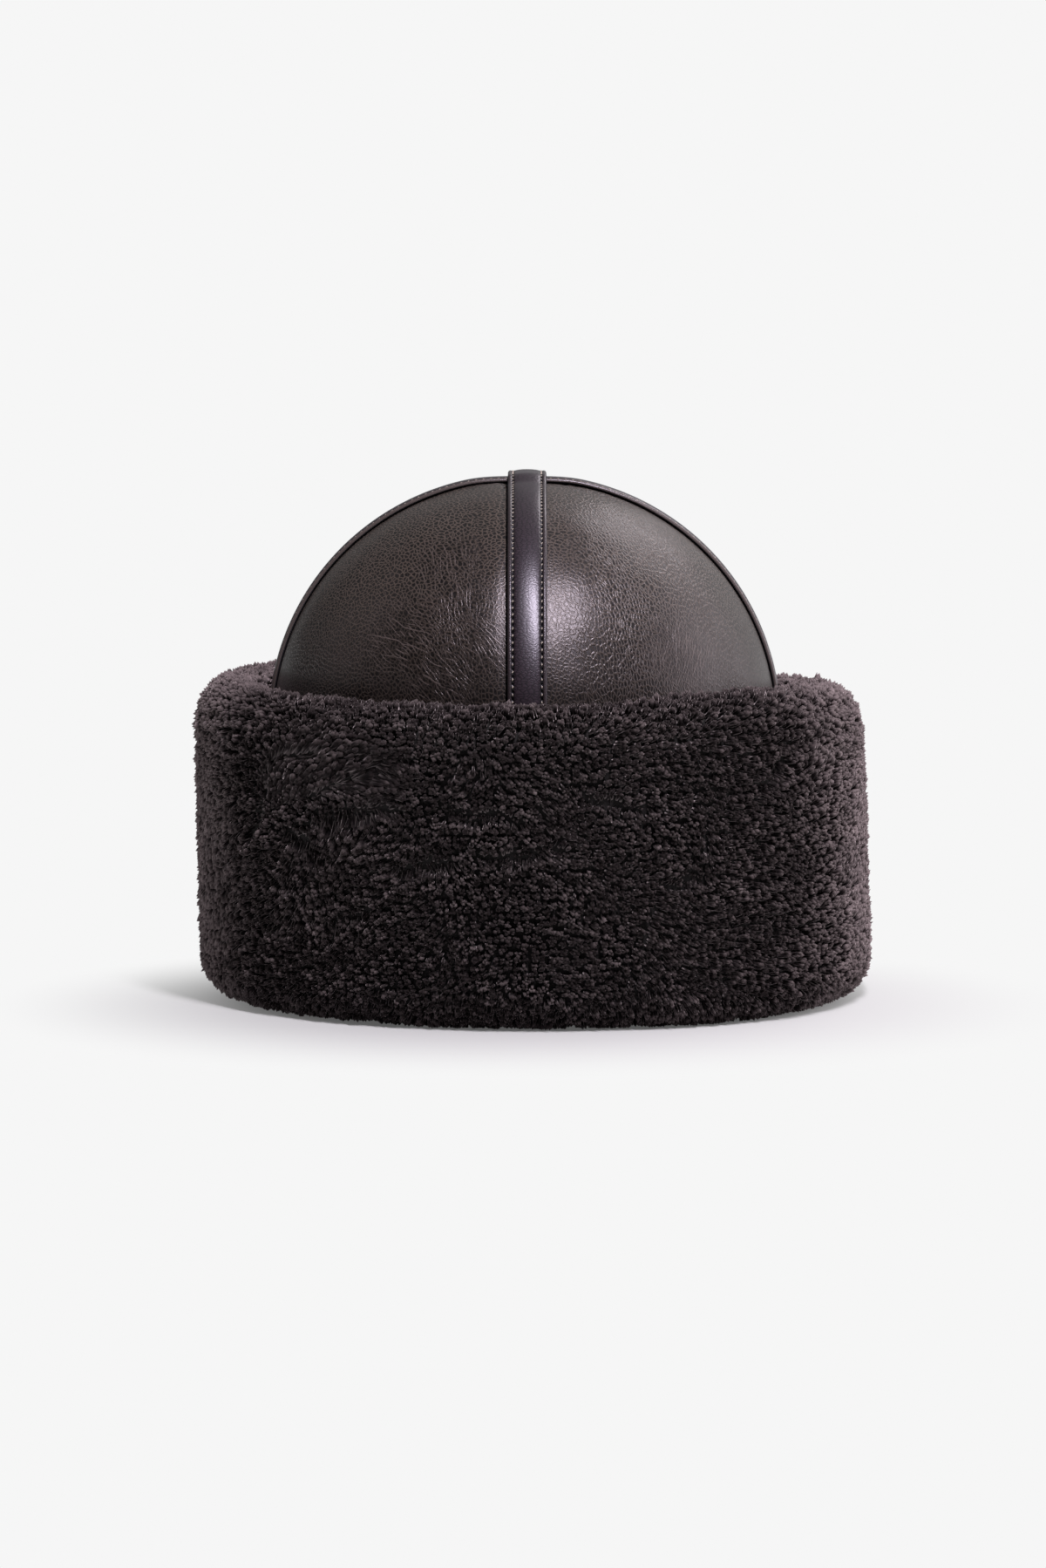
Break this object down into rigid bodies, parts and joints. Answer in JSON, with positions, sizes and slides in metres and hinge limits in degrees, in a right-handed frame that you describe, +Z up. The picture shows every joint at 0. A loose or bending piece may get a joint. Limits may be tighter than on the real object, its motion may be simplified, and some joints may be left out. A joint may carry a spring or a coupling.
{
  "type": "shearling hat",
  "caption": "Domed hat of hide panels with stitched leather strips over the seams and a deep turned-up fleece cuff.",
  "frame": {"origin": "middle of the footprint on the surface that the hat stands on, at the bottom of the cuff's fold", "axes": "+Z up through the crown's top, -Y out of the front of the hat, +X towards the right of someone who faces the front"},
  "size_m": [0.2486, 0.2658, 0.1896],
  "materials": {
    "crown_leather": "satin",
    "strip_leather": "semi-gloss",
    "fleece": "deep woolly pile"
  },
  "bodies": {
    "root": {"crown_panel_front_left": "crown_leather", "crown_panel_front_right": "crown_leather", "crown_panel_back_left": "crown_leather", "crown_panel_back_right": "crown_leather", "seam_strip_side_to_side": "strip_leather", "seam_strip_front_to_back": "strip_leather", "cuff": "fleece"}
  },
  "joints": []
}
